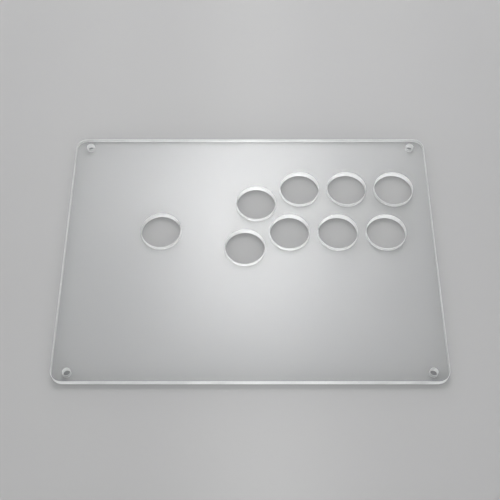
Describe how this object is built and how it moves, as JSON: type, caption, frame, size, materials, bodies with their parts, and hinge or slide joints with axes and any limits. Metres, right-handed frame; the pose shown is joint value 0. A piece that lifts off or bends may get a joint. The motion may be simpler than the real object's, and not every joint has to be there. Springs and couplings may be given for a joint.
{
  "type": "arcade joystick top panel",
  "caption": "Flat clear acrylic top panel of an arcade joystick, with rounded corners, a lever hole, two rows of button holes and a screw hole in each corner.",
  "frame": {"origin": "centre of the underside", "axes": "+Z out of the player's side of the sheet, +X to the player's right, +Y away from the player"},
  "size_m": [0.281, 0.211, 0.005],
  "materials": {
    "clear_acrylic": "clear cast acrylic, glossy faces, smooth satin cut edges"
  },
  "bodies": {
    "root": {"acrylic_panel": "clear_acrylic"}
  },
  "joints": []
}
